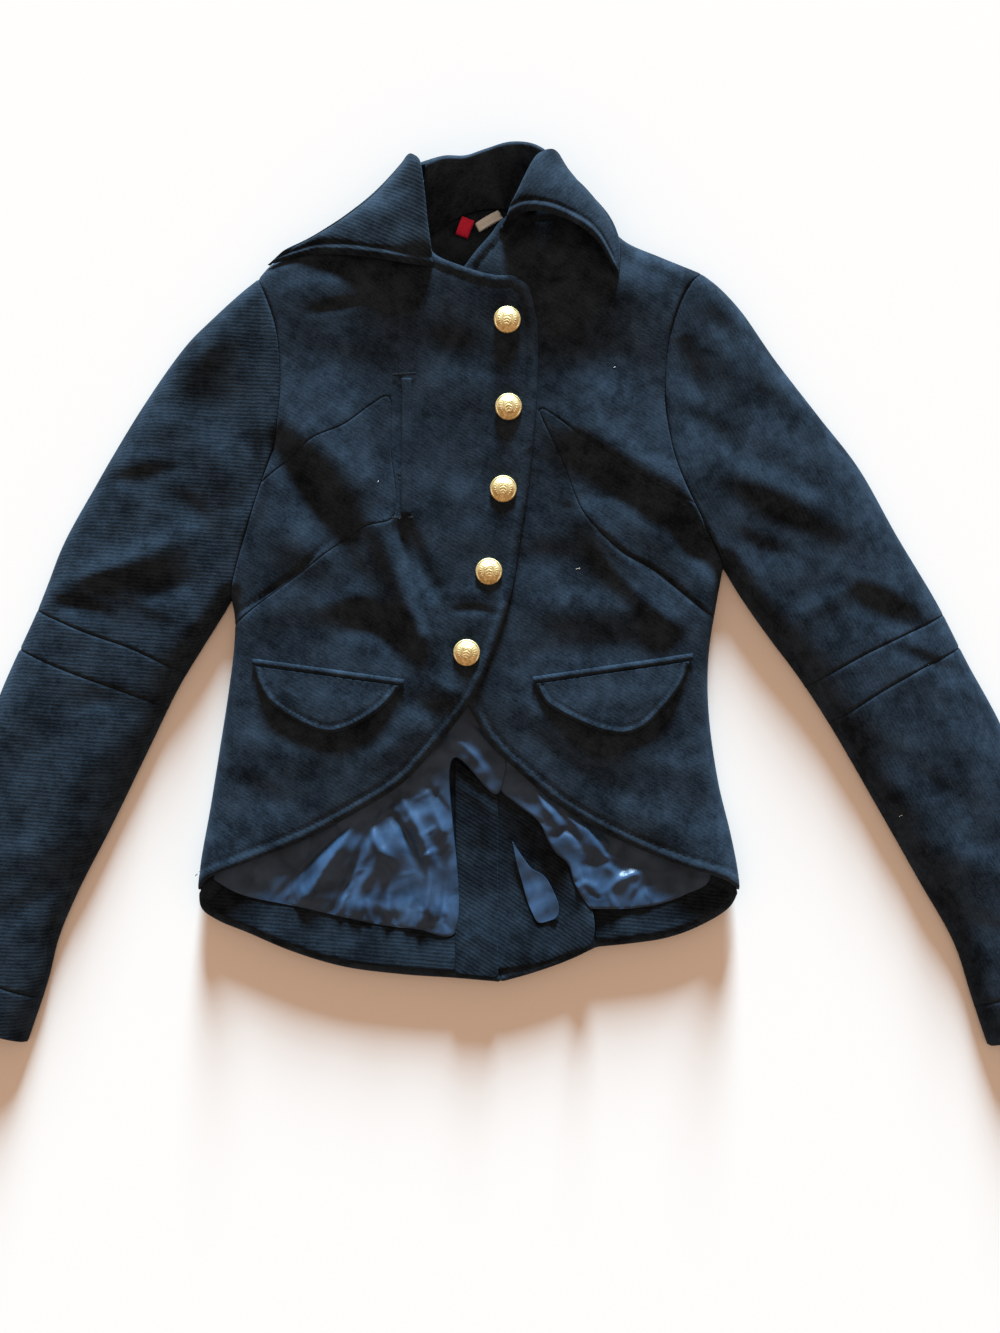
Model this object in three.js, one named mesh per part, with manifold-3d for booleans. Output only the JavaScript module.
// A fitted military blazer in wool twill, laid flat on its back and buttoned.
// Millimetres. +X is the wearer's left, +Y runs from hem to collar, +Z is up from the surface.

import * as THREE from "three";
import { mergeVertices } from "three/addons/utils/BufferGeometryUtils.js";
import Module from "manifold-3d";

const wasm = await Module();
wasm.setup();

// Cloth and fit
const CLOTH = 2.2; // wall of wool twill with its interlining
const SATIN = 1.0; // wall of the lining
const SEAM = 0.3; // gap between pieces sewn side by side
const LAYER = 0.8; // gap between pieces lying on each other
const LATTICE = 16; // spacing of the points of flat layers
const FINE_LATTICE = 12;
const FLAT_LATTICE = 64;

// Body
const RIM = CLOTH + 0.5; // where the fronts start, just above the back
const BODY_LOFT = 13; // rise of the fronts over the rim
const BODY_ROUND = 15; // width of the rounded fold at the sides
const OVERLAP_RISE = CLOTH + 1.1; // the right front lies on the left
const OVERLAP_RAMP = 30; // width over which the right front climbs onto the left
const OVERLAP_START = 1.2; // the climb starts this many widths before the left edge
const HEM_CURL = 9; // lift of the back hem off the surface
const HEM_CURL_WIDTH = 75; // width of the hem that lifts
const BACK_FLAT = -140; // above this the back lies flat
const BACK_SEAM_X = -3; // centre back seam
const FACING_INSET = 5; // back hem edge to its facing
const FACING_WIDTH = 33;
const FACING_START = 0.14; // shares of the hem's length at which the facings start and end
const FACING_END = 0.82;
const FACING = 1.8; // wall of the facings
const FACING_FLOAT = 0.6; // gap between back and facings
const LINING_FLOAT = 0.5; // gap between facings and lining
const VENT_EDGE = -38.5; // where the right lining and hem facing meet the vent

// Sleeves
const SLEEVE_LOFT = 15;
const SLEEVE_ROUND = 38; // width of the rounded fold of a sleeve
const SLEEVE_BLEND = 0.22; // share of the sleeve over which the body's form passes into it
const SLEEVE_GAP = 0.6; // along X, from the armhole of the front to the sleeve
const SLEEVE_FOLD = 0.025; // share of the sleeve's length taken by its first row of points
const REACH = { inside: 60, beyond: 700, above: 400, below: -500 }; // past the sleeve on all sides

// Buttons
const BUTTON_RADIUS = 10.2;
const BUTTON_RISE = 5.2;
const BUTTON_SIDES = 16;
const BUTTON_SEAT = 8; // radius at which a button touches the cloth
const buttonProfile = [
  [0, 0], [0.8, 0], [1, 0.24], [1, 0.46], [0.93, 0.58], [0.85, 0.54], [0.75, 0.68], [0.45, 0.92], [0, 1]];

// Collar
const COLLAR_GAP = 0.4; // along X, from the collar's back to its leaves

// Where the box of the whole jacket has its centre, in the frame of the tables
const CENTRE = { x: -0.5, y: -6 };

// Builds rows with named columns.
const rows = (columns, ...values) =>
  values.map((row) => Object.fromEntries(columns.map((name, i) => [name, row[i]])));
const XY = ["x", "y"];

// Edges of the jacket seen from above, each from its lower end or its inner end
const sideRight = rows(XY,
  [-236, -229], [-234, -205], [-229, -170], [-222, -125], [-215, -80], [-210, -40], [-209.5, -20],
  [-212, -5]);
const sideLeft = rows(XY,
  [181, -229], [180, -215], [175, -185], [166, -145], [160, -105], [158, -75], [159, -45], [164, -12],
  [170, 20]);
const armholeRight = rows(XY,
  [-212, -5], [-209, 8], [-203, 32], [-194, 62], [-183, 94], [-175, 122], [-172, 150],
  [-172.5, 180], [-176, 206], [-183, 227], [-191, 244]);
const armholeLeft = rows(XY,
  [170, 20], [161, 38], [150, 59], [138, 82], [129, 108], [124, 138], [123, 165],
  [126, 195], [133, 220], [142, 236], [153, 248]);
const shoulderRight = rows(XY, [-191, 244], [-177, 252.5], [-152, 263], [-112, 277.5], [-73, 287]);
const shoulderLeft = rows(XY, [153, 248], [120, 261], [94, 270], [74, 280], [52, 286.2]);
const necklineRight = rows(XY,
  [-73, 287], [-62, 272], [-53, 257], [-30, 246], [-8, 240], [8, 239], [19, 231]);
const necklineLeft = rows(XY, [52, 286.2], [24, 291], [0, 286], [-11, 272], [-23, 258], [-31, 247]);
const frontEdgeRight = rows(XY,
  [-24, -82], [-9, -46], [5, -2], [12, 40], [18, 80], [22, 118], [25, 160], [24.5, 205], [19, 231]);
const frontEdgeLeft = rows(XY,
  [-27, -89], [-41, -60], [-43, -25], [-35, 25], [-28, 80], [-24, 150], [-25, 215], [-31, 247]);
const hemRight = rows(XY,
  [-236, -229], [-226, -218], [-198, -207], [-154, -190], [-116, -170], [-78, -146], [-48, -113], [-24, -82]);
const hemLeft = rows(XY,
  [-27, -89], [-12, -115], [12, -139], [45, -166], [88, -190], [132, -208], [170, -220], [181, -229]);
const backHemRight = rows(XY,
  [-236, -229], [-234, -243], [-222, -252], [-198, -262], [-165, -276], [-125, -288],
  [-80, -294], [-37, -297], [-3, -300]);
const backHemLeft = rows(XY, [-3, -300], [22, -293], [50, -283], [71, -273]);
const backHemFarLeft = rows(XY, [71, -273], [100, -270], [125, -266], [150, -257], [174, -242], [181, -229]);
const backNeck = rows(XY, [-73, 287], [-36, 298], [-8, 302], [20, 299], [52, 286.2]);
const sleeveOuterRight = rows(XY,
  [-191, 244], [-206, 232], [-226, 214], [-247, 193], [-280, 147], [-320, 80], [-343, 38],
  [-360, -6], [-391, -75], [-415, -140], [-430, -205], [-441, -262], [-450, -317]);
const sleeveInnerRight = rows(XY,
  [-212, -5], [-221, -20], [-236, -44], [-253, -72], [-275, -117], [-305, -179], [-333, -234],
  [-347, -268], [-355, -300], [-372, -351]);
const sleeveOuterLeft = rows(XY,
  [153, 248], [166, 238], [184, 219], [210, 182], [244, 138], [275, 98], [305, 45],
  [336, -7], [360, -54], [384, -98], [408, -153], [428, -222], [441, -275], [449, -319]);
const sleeveInnerLeft = rows(XY,
  [170, 20], [184, -3], [205, -33], [229, -65], [252, -100], [288, -162], [322, -222],
  [350, -272], [364, -315], [377, -354]);

// Seams that part the panels, each long enough to run past the piece that it cuts
const bustRight = rows(XY,
  [-230, 55], [-195, 77], [-168, 100], [-145, 117], [-122, 128], [-101, 144], [-89, 150],
  [-87, 109], [-85, 57], [-107, 50], [-126, 38], [-157, 14], [-186, -7], [-214, -29], [-235, -42]);
const bustLeft = rows(XY,
  [190, 50], [150, 66], [115, 82], [73, 110], [54, 122], [27, 140],
  [44, 101], [60, 61], [73, 46], [92, 30], [111, 21], [135, 2], [169, -25], [190, -42]);
const sleeveSeamsRight = [
  rows(XY, [-225, -71], [-254, -58], [-286, -43], [-322, -30], [-385, -3]),
  rows(XY, [-235, -99], [-266, -86], [-297, -74], [-333, -61], [-400, -33]),
  rows(XY, [-330, -324], [-388, -302], [-460, -274]),
];
const sleeveSeamsLeft = [
  rows(XY, [220, -82], [240, -68], [275, -48], [317, -28], [375, 1]),
  rows(XY, [238, -108], [258, -96], [287, -77], [315, -61], [390, -24]),
  rows(XY, [340, -329], [381, -313], [465, -272]),
];

// Swells and largest folds of the fronts: a straight line from a to b, its half width and its height
const FORM = ["ax", "ay", "bx", "by", "width", "height"];
const bodyForms = rows(FORM,
  [-140, 120, -120, 75, 55, 8], // right bust
  [70, 125, 105, 85, 52, 8], // left bust
  [-150, 215, -90, 225, 45, 4], // right shoulder
  [85, 225, 120, 210, 40, 4], // left shoulder
  [-172, 112, -122, 42, 12, -4], // dip under the right bust
  [60, 108, 120, 68, 13, -4], // dip under the left bust
  [-90, 50, -62, -30, 11, 4], // waist dart ridge
  [-78, 48, -56, 4, 8, -4], // fold beside the dart
  [-112, -20, -80, -34, 12, -3.5], // dip over the right pocket
  [66, 56, 125, -22, 12, 4], // ridge under the left dart
  [140, 38, 158, 20, 10, -3], // dip at the left underarm
  [40, -34, 125, -28, 14, -2.5]); // dip over the left pocket
const sleeveForms = rows(FORM,
  [-354, -4, -230, 48, 12, 3], // ridges over the elbows
  [160, 92, 250, 52, 12, 3],
  [-330, 4, -306, 6, 12, -4], // hollows above the elbow bands
  [272, -4, 312, -26, 12, -4],
  [-205, 205, -192, 150, 16, 3], // sleeve heads
  [150, 215, 143, 160, 16, 3]);

// Lining and vent, seen in the hem opening and running on under the fronts
const liningRight = rows(XY,
  [-205, -230], [-155, -243], [-96, -256], [-67, -259.5], [-39, -263], [-39, -127], [-5.5, -156],
  [-5.5, -60], [-60, -75], [-110, -115], [-160, -150], [-200, -180]);
const liningLeft = rows(XY,
  [66, -242], [94, -243], [118, -240], [140, -232], [158, -221], [150, -180], [95, -142], [45, -102],
  [18, -60], [-4.5, -60], [-4.5, -125], [21, -181], [39, -205], [54, -232]);
const ventFacing = rows(XY, [-38, -128.5], [-38, -292], [-5, -295], [-5, -157.5]);
const ventUnderlap = rows(XY,
  [-14, -290.5], [22, -286.5], [50, -277], [66.8, -268.5], [66.8, -240], [60, -226], [45, -199], [27, -174],
  [2, -130], [-14, -140]);
const neckFacing = rows(XY,
  [-58, 236], [10, 236], [24, 262], [24, 293], [8, 296.5], [-8, 298], [-32, 294.5], [-52, 286], [-60, 268]);
const liningForms = rows(FORM,
  [-150, -232, -120, -178, 9, 3.5],
  [-92, -240, -82, -170, 8, 3.5],
  [-58, -252, -62, -172, 8, 3],
  [-36, -118, -18, -136, 8, 2.5],
  [30, -150, 60, -190, 9, 3.5],
  [70, -196, 100, -230, 9, 3]);

// Pockets
const flapRight = rows(XY,
  [-192, -56.4], [-187, -72], [-178, -85], [-163, -96], [-147, -104], [-136, -107],
  [-122, -105], [-104, -96], [-90, -85], [-79.5, -71.7]);
const flapLeft = rows(XY,
  [23.5, -70.2], [31, -84], [48, -95], [68, -104], [84, -108], [96, -107.5], [108, -102],
  [121, -89], [134, -72], [142, -52.7]);
const bars = rows(["name", "ax", "ay", "bx", "by", "width"],
  ["hip_welt_right", -193, -53, -77, -69, 4.5],
  ["hip_welt_left", 22, -67, 144, -49, 4.5],
  ["chest_welt", -74.6, 163.5, -75.4, 60, 7.6],
  ["chest_welt_top_tack", -85, 166.2, -68, 167, 2.6],
  ["chest_welt_bottom_tack", -85.5, 56.4, -70, 57, 2.6]);
const FLAP = 2; // wall of the pocket pieces

const buttons = rows(XY, [2, 206], [3, 141], [-1, 79], [-12, 16], [-29, -46]);

// Collar: each row runs from the neck seam over the roll line to the free edge
const LEAF = ["seam", "rise", "roll", "inner", "outer", "edge"];
const leafRight = rows(LEAF,
  [[-52, 252, 21], [-65, 257.5, 24.5], [-79, 263, 26.5], [-105, 264, 25.5], [-141, 260.5, 20],
    [-182, 252, 15]],
  [[-57, 263, 20.5], [-57, 266, 28], [-66, 269, 33], [-95, 271, 29.5], [-137, 270, 22], [-170.5, 261, 14]],
  [[-65, 273, 18.5], [-58, 279, 31], [-62, 283, 36.5], [-87, 284, 33], [-120, 283.5, 24], [-144, 276.5, 12]],
  [[-72, 281, 16], [-60, 296, 31], [-62, 302, 37], [-78, 302, 33], [-99, 300, 24], [-112.5, 299, 10]],
  [[-72, 289, 12], [-62.5, 311, 27], [-63.5, 319.5, 35.5], [-72, 321, 34], [-81.5, 321, 24], [-89.5, 321, 8]],
  [[-68, 293, 9], [-63, 318, 22], [-64.5, 326, 32], [-70, 330, 32], [-75, 333, 21], [-77.5, 335, 6]]);
const leafLeft = rows(LEAF,
  [[-6, 270, 20], [2, 279, 28], [17, 283.5, 36.5], [44, 277.5, 39.5], [68, 264, 33], [86.5, 237, 23.5]],
  [[6, 277, 19], [3, 287, 31], [15.5, 294, 39.5], [42, 291, 40.5], [68.5, 278.5, 33], [88, 252, 22.5]],
  [[22, 286, 18], [9, 298, 32], [16, 305, 40.5], [38, 305, 40], [65, 295, 32], [88, 270, 19]],
  [[34, 288, 16], [16, 310, 32], [20, 318, 40], [36, 316, 38], [59, 307, 29], [80.5, 290, 13]],
  [[36, 291, 13.6], [22.5, 320, 27], [24.5, 327.5, 36.5], [36, 326.5, 34.5], [50, 319, 24], [61, 313, 9]],
  [[32, 293, 9], [26.5, 322, 22], [28.5, 331.5, 32], [35.5, 334, 31], [42, 334.5, 20], [44, 334, 6]]);
const STAND = ["seam", "middle", "top", "behind", "foot"];
const collarBack = rows(STAND,
  [[-72, 262, 7.4], [-70, 294, 13.5], [-66, 322, 25], [-66, 329, 16], [-66, 324, 0.8]],
  [[-47, 284, 7.4], [-47, 308, 14], [-46, 327, 30], [-46, 333, 19], [-46, 326, 0.8]],
  [[-31, 293, 7.4], [-30, 311, 14.5], [-30, 327, 31], [-30, 333, 19], [-30, 326, 0.8]],
  [[-15, 297, 7.4], [-15, 314, 15], [-14, 332, 32], [-14, 337.5, 20], [-14, 330, 0.8]],
  [[1, 297, 7.4], [3, 316, 15.5], [5, 337, 33], [5, 342, 21], [5, 334, 0.8]],
  [[14, 293, 7.4], [19, 317, 15], [25, 335, 30.5], [25, 340.5, 20], [25, 333, 0.8]],
  [[30, 282, 7.4], [32, 312, 14], [36, 330, 25], [36, 335, 16], [36, 328, 0.8]]);

// Labels at the neck
const labels = rows(["name", "x", "y", "length", "width", "thickness", "turn", "colour"],
  ["hanging_loop", -28.5, 281, 15, 10, 1.6, 1.2, 0xb0122e],
  ["neck_label", -10, 286.5, 20, 8.5, 0.8, 0.5, 0xe6e0d0]);

// Materials
const finish = (color, roughness, metalness = 0) =>
  new THREE.MeshStandardMaterial({ color, roughness, metalness });
const wool = () => finish(0x10141d, 0.92);
const satin = () => finish(0x2b3a52, 0.4);
const metal = () => finish(0xc9a86a, 0.35, 1);
const tape = (color) => finish(color, 0.8);

// A smooth curve through the points of a table, cut into equal steps of length.
const curveThrough = (points) => new THREE.CatmullRomCurve3(points, false, "centripetal");
const curveOf = (table) => curveThrough(table.map((p) => new THREE.Vector3(p.x, p.y, 0)));
const smooth = (table, steps) => curveOf(table).getSpacedPoints(steps);

// The same curve, cut at given shares of its length.
function smoothAt(table, shares) {
  const curve = curveOf(table);
  return shares.map((share) => curve.getPointAt(share));
}

const join = (...parts) => parts.reduce((all, part) => [...all, ...part.slice(1)]);
const reversed = (points) => [...points].reverse();
const mix = (a, b, share) => a + (b - a) * share;
const ease = (share) => {
  const s = THREE.MathUtils.clamp(share, 0, 1);
  return s * s * (3 - 2 * s);
};

// Distance in plan from (x, y) to a chain of points.
function distanceTo(chain, x, y) {
  let best = Infinity;
  for (let i = 1; i < chain.length; i++) {
    const a = chain[i - 1];
    const b = chain[i];
    const dx = b.x - a.x;
    const dy = b.y - a.y;
    const along = THREE.MathUtils.clamp(((x - a.x) * dx + (y - a.y) * dy) / (dx * dx + dy * dy), 0, 1);
    best = Math.min(best, Math.hypot(x - a.x - along * dx, y - a.y - along * dy));
  }
  return best;
}

// Silhouette of body and sleeves, where the cloth folds down to the surface
const outline = {
  right: [
    smooth(sideRight, 16), smooth(shoulderRight, 8),
    smooth(sleeveOuterRight, 30), smooth(sleeveInnerRight, 20),
  ],
  left: [
    smooth(sideLeft, 16), smooth(shoulderLeft, 8),
    smooth(sleeveOuterLeft, 30), smooth(sleeveInnerLeft, 20),
  ],
};
const backHem = join(smooth(backHemRight, 16), smooth(backHemLeft, 5), smooth(backHemFarLeft, 8));
const leftEdge = smooth(frontEdgeLeft, 14);

// Quarter round from 0 at the fold to 1 at its full width.
const roundedFold = (distance, width) => Math.sqrt(1 - (1 - Math.min(distance / width, 1)) ** 2);

function formsAt(forms, x, y) {
  let height = 0;
  for (const form of forms) {
    const away = distanceTo([{ x: form.ax, y: form.ay }, { x: form.bx, y: form.by }], x, y) / form.width;
    height += form.height * Math.exp(-away * away);
  }
  return height;
}

// Lift of the back off the surface near its hem.
const hemLift = (x, y) => HEM_CURL * ease(1 - distanceTo(backHem, x, y) / HEM_CURL_WIDTH);

// Height of the free rims of the fronts and top sleeves.
const rimHeight = (x, y) => RIM + hemLift(x, y);
const sleeveRim = () => RIM;

function foldDistance(x, y) {
  const chains = x < 0 ? outline.right : outline.left;
  return Math.min(...chains.map((chain) => distanceTo(chain, x, y)));
}

// Height of the outer face of the fronts.
function topHeight(x, y) {
  const loft = BODY_LOFT + formsAt(bodyForms, x, y);
  return rimHeight(x, y) + loft * roundedFold(foldDistance(x, y), BODY_ROUND);
}

// Height of the outer face of the top sleeves, at a share of their length.
function sleeveHeight(x, y, along) {
  const share = ease(along / SLEEVE_BLEND);
  const body = BODY_LOFT + formsAt(bodyForms, x, y);
  const sleeve = SLEEVE_LOFT + formsAt(sleeveForms, x, y);
  const width = mix(BODY_ROUND, SLEEVE_ROUND, share);
  return RIM + mix(body, sleeve, share) * roundedFold(foldDistance(x, y), width);
}

// The right front climbs onto the left where they overlap.
function rightFrontHeight(x, y) {
  const edge = leftEdge.reduce((near, p) => (Math.abs(p.y - y) < Math.abs(near.y - y) ? p : near));
  const onLeft = (x - edge.x) / OVERLAP_RAMP + OVERLAP_START;
  return topHeight(x, y) + OVERLAP_RISE * ease(onLeft);
}

// A four-sided patch: its edges are chains of points, and the inside follows all four.
// The shares say how far across and up each point of the chains lies.
function patch(bottom, top, left, right, us, vs, place) {
  const across = bottom.length - 1;
  const up = left.length - 1;
  return left.map((leftPoint, j) => {
    const v = vs[j];
    return bottom.map((bottomPoint, i) => {
      const u = us[i];
      const blend = (axis) =>
        mix(bottomPoint[axis], top[i][axis], v) + mix(leftPoint[axis], right[j][axis], u) -
        mix(mix(bottom[0][axis], bottom[across][axis], u), mix(top[0][axis], top[across][axis], u), v);
      return place(blend("x"), blend("y"), u, v);
    });
  });
}

// The way that a grid of points faces at one of them. At a corner too flat to tell, its neighbours say.
const FLAT_CORNER = 0.5;
function normalAt(grid, i, j) {
  const clamp = (value, low, high) => Math.max(low, Math.min(value, high));
  const up = grid.length;
  const across = grid[0].length;
  const east = grid[j][clamp(i + 1, 0, across - 1)].clone().sub(grid[j][clamp(i - 1, 0, across - 1)]);
  const north = grid[clamp(j + 1, 0, up - 1)][i].clone().sub(grid[clamp(j - 1, 0, up - 1)][i]);
  const normal = east.normalize().cross(north.normalize());
  const inside = i > 0 && j > 0 && i < across - 1 && j < up - 1;
  if (inside || normal.length() > FLAT_CORNER) return normal.normalize();
  return normalAt(grid, clamp(i, 1, across - 2), clamp(j, 1, up - 2));
}

// A closed wall: the grid of points is its outer face, the inner one lies a thickness below it.
// Nothing of it lies below the floor.
function wall(grid, thickness, floor = () => -Infinity) {
  const up = grid.length;
  const across = grid[0].length;
  const outer = grid.flat();
  const inner = grid.flatMap((row, j) =>
    row.map((point, i) => {
      const below = point.clone().addScaledVector(normalAt(grid, i, j), -thickness);
      below.z = Math.max(below.z, floor(below.x, below.y));
      return below;
    }));
  const count = outer.length;
  const faces = [];
  const quad = (a, b, c, d) => faces.push(a, b, c, a, c, d);
  for (let j = 0; j < up - 1; j++) {
    for (let i = 0; i < across - 1; i++) {
      const a = j * across + i;
      quad(a, a + 1, a + 1 + across, a + across);
      quad(count + a, count + a + across, count + a + 1 + across, count + a + 1);
    }
  }
  const rim = [];
  for (let i = 0; i < across - 1; i++) rim.push(i);
  for (let j = 0; j < up - 1; j++) rim.push(j * across + across - 1);
  for (let i = across - 1; i > 0; i--) rim.push((up - 1) * across + i);
  for (let j = up - 1; j > 0; j--) rim.push(j * across);
  rim.forEach((a, i) => {
    const b = rim[(i + 1) % rim.length];
    quad(a, count + a, count + b, b);
  });
  const geometry = new THREE.BufferGeometry();
  const positions = [...outer, ...inner].flatMap((p) => [p.x, p.y, p.z]);
  geometry.setAttribute("position", new THREE.Float32BufferAttribute(positions, 3));
  geometry.setIndex(faces);
  return geometry;
}

function toSolid(geometry) {
  const bare = geometry.clone();
  bare.deleteAttribute("normal");
  bare.deleteAttribute("uv");
  const merged = mergeVertices(bare, 1e-4);
  return new wasm.Manifold(new wasm.Mesh({
    numProp: 3,
    vertProperties: new Float32Array(merged.attributes.position.array),
    triVerts: new Uint32Array(merged.index.array),
  }));
}

function toGeometry(solid) {
  const mesh = solid.getMesh();
  const geometry = new THREE.BufferGeometry();
  geometry.setAttribute("position", new THREE.Float32BufferAttribute(mesh.vertProperties, 3));
  geometry.setIndex([...mesh.triVerts]);
  return geometry;
}

// The outline moved outwards, or inwards where the distance is negative.
// Sharp corners move out no further than the limit lets them.
const CORNER_LIMIT = 0.4;
function grown(points, distance) {
  const area = THREE.ShapeUtils.area(points);
  return points.map((point, i) => {
    const before = points[(i + points.length - 1) % points.length];
    const after = points[(i + 1) % points.length];
    const first = new THREE.Vector2(point.y - before.y, before.x - point.x).normalize();
    const second = new THREE.Vector2(after.y - point.y, point.x - after.x).normalize();
    const turn = first.clone().add(second);
    turn.multiplyScalar((Math.sign(area) * distance) / Math.max(CORNER_LIMIT, turn.lengthSq() / 2));
    return { x: point.x + turn.x, y: point.y + turn.y };
  });
}

// The outline pulled up into a solid, by default much taller than the jacket.
const TALL = 200;
function prism(points, low = -TALL, high = TALL) {
  const shape = new THREE.Shape(points.map((p) => new THREE.Vector2(p.x, p.y)));
  return new THREE.ExtrudeGeometry(shape, { depth: high - low, bevelEnabled: false }).translate(0, 0, low);
}

// Multiples of a step that reach past both ends of a span.
function lattice(low, high, step) {
  const first = Math.floor((low - 1) / step);
  const last = Math.ceil((high + 1) / step);
  return Array.from({ length: last - first + 1 }, (_, i) => (first + i) * step);
}

// A wall whose outer face is at the given height over the plan, cut to an outline.
// Past the flat level it is plain, and needs no points of its own there.
function laidOn(points, height, thickness, step, flatLevel = Infinity) {
  const box = new THREE.Box2().setFromPoints(points.map((p) => new THREE.Vector2(p.x, p.y)));
  const xs = lattice(box.min.x, box.max.x, step);
  const all = lattice(box.min.y, box.max.y, step);
  const ys = all.filter((y) => y < flatLevel || y === all.at(-1));
  const grid = ys.map((y) => xs.map((x) => new THREE.Vector3(x, y, height(x, y))));
  return toGeometry(toSolid(wall(grid, thickness)).intersect(toSolid(prism(points))));
}

const jacket = new THREE.Group();
const solids = {};
function add(name, geometry, material) {
  solids[name] = toSolid(geometry);
  geometry.computeVertexNormals();
  const mesh = new THREE.Mesh(geometry, material);
  mesh.name = name;
  jacket.add(mesh);
}

// Shares of a patch, closer together near a fold
const FOLD_SHARES = [0, 0.006, 0.025, 0.055];
const openShares = (steps, from = 0, to = 1) =>
  Array.from({ length: steps + 1 }, (_, i) => from + ((to - from) * i) / steps);
const foldThenOpen = (steps) => [...FOLD_SHARES.slice(0, 3), ...openShares(steps, FOLD_SHARES[3], 1)];
const openThenFold = (steps) => foldThenOpen(steps).map((share) => 1 - share).reverse();

const ARMHOLE_STEPS = 13;
const armhole = { right: smooth(armholeRight, ARMHOLE_STEPS), left: smooth(armholeLeft, ARMHOLE_STEPS) };
const shiftX = (points, dx) => points.map((p) => new THREE.Vector3(p.x + dx, p.y, p.z));

// Splits a front at its bust panel.
function addFront(side, grid, bust) {
  const whole = toSolid(wall(grid, CLOTH, rimHeight));
  const panel = toSolid(prism(grown(bust, -SEAM / 2)));
  const around = toSolid(prism(grown(bust, SEAM / 2)));
  add("front_" + side, toGeometry(whole.subtract(around)), wool());
  add("bust_panel_" + side, toGeometry(whole.intersect(panel)), wool());
}

function addFronts() {
  const SIDE_STEPS = 9;
  const upSteps = openShares(SIDE_STEPS + ARMHOLE_STEPS);
  const across = foldThenOpen(12);
  const right = patch(
    smoothAt(hemRight, across),
    smoothAt(join(shoulderRight, necklineRight), across),
    join(smooth(sideRight, SIDE_STEPS), armhole.right),
    smooth(frontEdgeRight, SIDE_STEPS + ARMHOLE_STEPS),
    across, upSteps,
    (x, y) => new THREE.Vector3(x, y, rightFrontHeight(x, y)));
  addFront("right", right, bustRight);
  const acrossLeft = openThenFold(12);
  const left = patch(
    smoothAt(hemLeft, acrossLeft),
    smoothAt(reversed(join(shoulderLeft, necklineLeft)), acrossLeft),
    smooth(frontEdgeLeft, SIDE_STEPS + ARMHOLE_STEPS),
    join(smooth(sideLeft, SIDE_STEPS), armhole.left),
    acrossLeft, upSteps,
    (x, y) => new THREE.Vector3(x, y, topHeight(x, y)));
  addFront("left", left, bustLeft);
}

// A back half from the centre seam to the armhole, its inside face following the hem's lift.
function addBacks() {
  const height = (x, y) => CLOTH + hemLift(x, y);
  const neck = smooth(backNeck, 12);
  const neckY = Math.max(...neck.map((p) => p.y));
  const seam = (x) => [{ x, y: neckY }, { x, y: backHemLeft[0].y }];
  const right = [
    ...smooth(sideRight, 12), ...armhole.right.slice(1), ...smooth(shoulderRight, 3).slice(1),
    ...neck.filter((p) => p.x < BACK_SEAM_X - SEAM).slice(1), ...seam(BACK_SEAM_X - SEAM / 2),
    ...reversed(smooth(backHemRight, 14)).slice(1, -1),
  ];
  add("back_right", laidOn(right, height, CLOTH, LATTICE, BACK_FLAT), wool());
  const left = [
    ...smooth(sideLeft, 12), ...armhole.left.slice(1), ...smooth(shoulderLeft, 3).slice(1),
    ...reversed(neck.filter((p) => p.x > BACK_SEAM_X + SEAM)).slice(1), ...seam(BACK_SEAM_X + SEAM / 2),
    ...smooth(backHemLeft, 4).slice(1), ...smooth(backHemFarLeft, 7).slice(1, -1),
  ];
  add("back_left", laidOn(left, height, CLOTH, LATTICE, BACK_FLAT), wool());
}

// A top sleeve in four pieces, parted by the elbow and cuff seams, and the sleeve under it.
function addSleeve(side, outerEdge, innerEdge, seams) {
  const sign = side === "right" ? -1 : 1;
  const start = shiftX(armhole[side], sign * SLEEVE_GAP);
  const along = [0, ...openShares(18, SLEEVE_FOLD, 1)];
  const outer = smoothAt(outerEdge, along);
  const inner = smoothAt(innerEdge, along);
  outer[0] = start.at(-1);
  inner[0] = start[0];
  const around = openShares(ARMHOLE_STEPS);
  const end = around.map((share) => inner.at(-1).clone().lerp(outer.at(-1), share));
  const place = (x, y, u, v) => new THREE.Vector3(x, y, sleeveHeight(x, y, v));
  const grid = patch(start, end, inner, outer, around, along, place);
  const whole = toSolid(wall(side === "right" ? grid : grid.map(reversed), CLOTH, sleeveRim));
  const names = ["sleeve_upper_", "elbow_band_", "forearm_", "cuff_"];
  const cuts = seams.map((seam) => smooth(seam, 6));
  const beyond = sign * REACH.beyond;
  const inside = sign * REACH.inside;
  const top = [
    { x: inside, y: cuts[0][0].y }, { x: inside, y: REACH.above }, { x: beyond, y: REACH.above }];
  const bottom = [{ x: cuts.at(-1)[0].x, y: REACH.below }, { x: beyond, y: REACH.below }];
  names.forEach((name, i) => {
    const above = i === 0 ? top : cuts[i - 1];
    const below = i === names.length - 1 ? bottom : cuts[i];
    const region = [...above, ...reversed(below)];
    const piece = whole.intersect(toSolid(prism(grown(region, -SEAM / 2))));
    add(name + side, toGeometry(piece), wool());
  });
  const under = [...start, ...outer.slice(1), ...reversed(inner.slice(1))];
  add("under_sleeve_" + side, prism(under, 0, CLOTH), wool());
}

// The chain moved sideways, to its left.
function movedLeft(chain, distance) {
  return chain.map((point, i) => {
    const before = chain[Math.max(i - 1, 0)];
    const after = chain[Math.min(i + 1, chain.length - 1)];
    const length = Math.hypot(after.x - before.x, after.y - before.y);
    const dx = (before.y - after.y) / length;
    const dy = (after.x - before.x) / length;
    return { x: point.x + dx * distance, y: point.y + dy * distance };
  });
}

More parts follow.
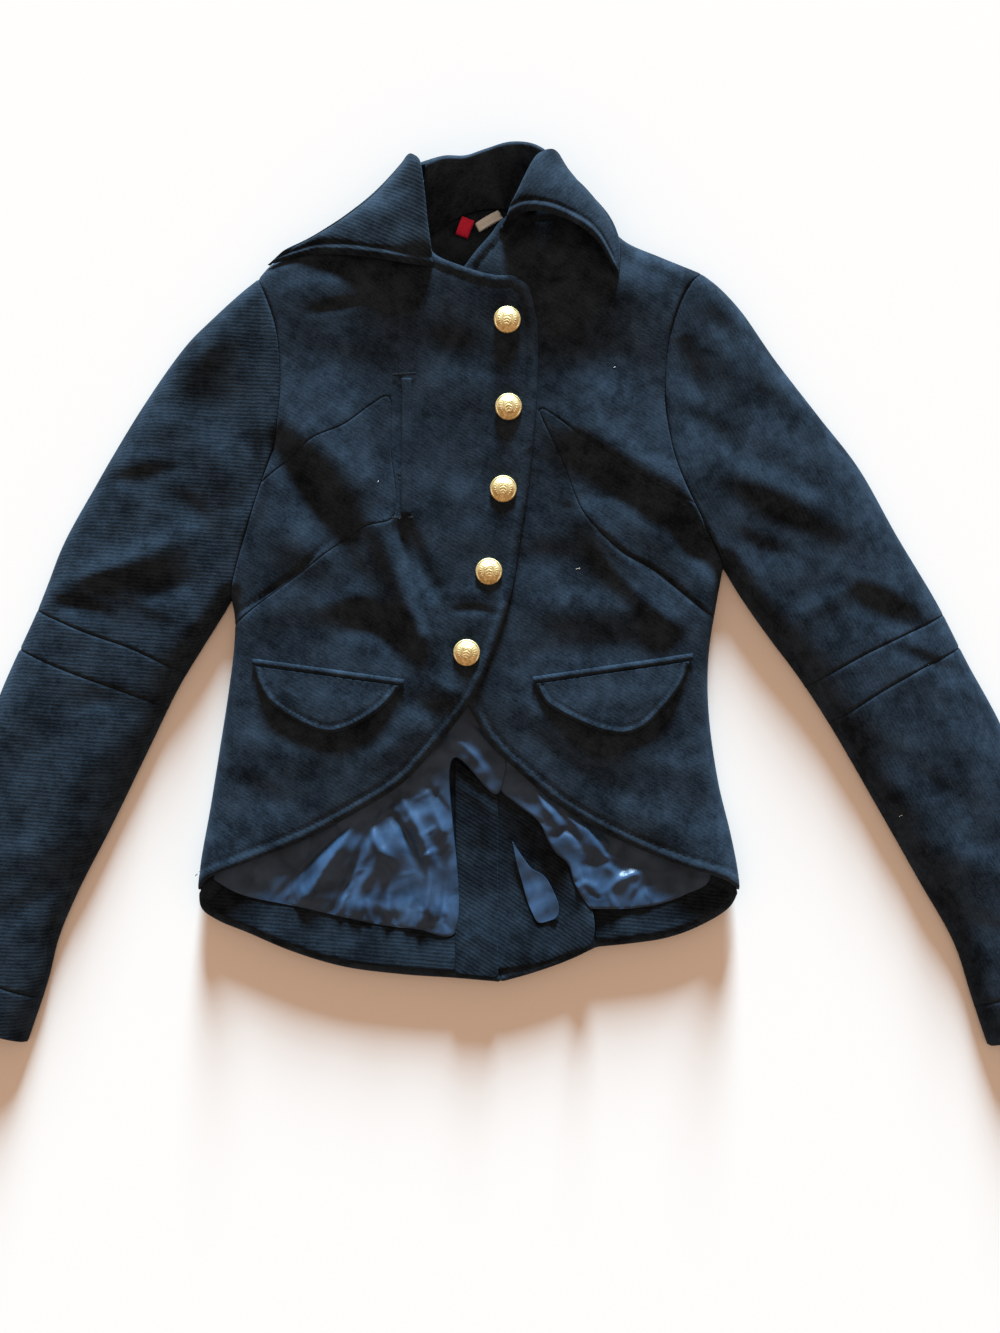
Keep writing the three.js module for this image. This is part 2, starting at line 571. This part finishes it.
// Facings, vent and lining on the inside of the back.
function addInside() {
  const facingTop = (x, y) => CLOTH + FACING_FLOAT + FACING + hemLift(x, y);
  const upperTop = (x, y) => facingTop(x, y) + LINING_FLOAT;
  const band = (chain) => {
    const low = movedLeft(chain, FACING_INSET);
    const high = movedLeft(chain, FACING_INSET + FACING_WIDTH);
    return [...low, ...reversed(high)];
  };
  const shares = openShares(12, FACING_START, 1);
  const rightChain = smoothAt(backHemRight, shares).filter((p) => p.x < VENT_EDGE);
  add("hem_facing_right", laidOn(band(rightChain), facingTop, FACING, LATTICE), wool());
  const leftChain = smoothAt(backHemFarLeft, openShares(8, 0, FACING_END));
  add("hem_facing_left", laidOn(band(leftChain), facingTop, FACING, LATTICE), wool());
  add("vent_underlap", laidOn(ventUnderlap, facingTop, FACING, LATTICE), wool());
  add("vent_facing", laidOn(ventFacing, (x, y) => upperTop(x, y) + FACING, FACING, LATTICE), wool());
  const liningTop = (x, y) => upperTop(x, y) + SATIN + formsAt(liningForms, x, y);
  add("lining_right", laidOn(liningRight, liningTop, SATIN, FINE_LATTICE), satin());
  add("lining_left", laidOn(liningLeft, liningTop, SATIN, FINE_LATTICE), satin());
  add("neck_facing", laidOn(neckFacing, facingTop, FACING, FLAT_LATTICE), wool());
}

// Flaps and welts lie on the fronts.
function addPockets() {
  const on = (x, y) => (x < 0 ? rightFrontHeight(x, y) : topHeight(x, y)) + LAYER + FLAP;
  add("hip_flap_right", laidOn(flapRight, on, FLAP, FINE_LATTICE), wool());
  add("hip_flap_left", laidOn(flapLeft, on, FLAP, FINE_LATTICE), wool());
  for (const bar of bars) {
    const line = [{ x: bar.ax, y: bar.ay }, { x: bar.bx, y: bar.by }];
    const strip = [...movedLeft(line, -bar.width / 2), ...reversed(movedLeft(line, bar.width / 2))];
    add(bar.name, laidOn(strip, on, FLAP, FINE_LATTICE), wool());
  }
}

// Domed buttons with a raised rim.
function addButtons() {
  const profile = buttonProfile.map(([r, z]) => new THREE.Vector2(r * BUTTON_RADIUS, z * BUTTON_RISE));
  const around = Array.from({ length: BUTTON_SIDES }, (_, k) => (2 * Math.PI * k) / BUTTON_SIDES);
  buttons.forEach((button, i) => {
    const heights = around.map((angle) =>
      rightFrontHeight(button.x + BUTTON_SEAT * Math.cos(angle), button.y + BUTTON_SEAT * Math.sin(angle)));
    const base = Math.max(...heights, rightFrontHeight(button.x, button.y)) + SEAM;
    const geometry = new THREE.LatheGeometry(profile, BUTTON_SIDES);
    geometry.rotateX(Math.PI / 2).translate(button.x, button.y, base);
    add("button_" + (i + 1), toGeometry(toSolid(geometry)), metal());
  });
}

// A smooth surface through a table of rows of named points.
function surface(table, across, up) {
  const strips = table.map((row) =>
    curveThrough(Object.values(row).map((p) => new THREE.Vector3(...p))).getPoints(across));
  const columns = strips[0].map((_, i) => curveThrough(strips.map((strip) => strip[i])).getPoints(up));
  return columns[0].map((_, j) => columns.map((column) => column[j]));
}

// The solid less its neighbour, with a gap between them along X.
function clearOf(solid, neighbour, gap) {
  const trimmed = [0, gap, -gap].reduce((left, dx) => left.subtract(neighbour.translate([dx, 0, 0])), solid);
  return trimmed.decompose().reduce((most, piece) => (piece.volume() > most.volume() ? piece : most));
}

// The leaves fold outwards over the fronts; the back stands up and falls behind itself.
function addCollar() {
  const floor = () => SEAM;
  add("collar_right", wall(surface(leafRight, 12, 10).map(reversed), CLOTH, floor), wool());
  add("collar_left", wall(surface(leafLeft, 12, 10), CLOTH, floor), wool());
  const neighbours = ["collar_right", "collar_left", "front_right", "front_left"];
  const whole = toSolid(wall(reversed(surface(collarBack, 11, 10)), CLOTH, floor));
  const back = neighbours.reduce((solid, name) => clearOf(solid, solids[name], COLLAR_GAP), whole);
  add("collar_back", toGeometry(back), wool());
}

// Small tapes sewn in at the back of the neck.
function addLabels() {
  const base = CLOTH + FACING_FLOAT + FACING + SEAM;
  for (const label of labels) {
    const strip = new THREE.BoxGeometry(label.length, label.width, label.thickness);
    strip.rotateZ(label.turn).translate(label.x, label.y, base + label.thickness / 2);
    add(label.name, strip, tape(label.colour));
  }
}

addFronts();
addBacks();
addSleeve("right", sleeveOuterRight, sleeveInnerRight, sleeveSeamsRight);
addSleeve("left", sleeveOuterLeft, sleeveInnerLeft, sleeveSeamsLeft);
addInside();
addPockets();
addButtons();
addCollar();
addLabels();

jacket.position.set(-CENTRE.x, -CENTRE.y, 0);

export default jacket;
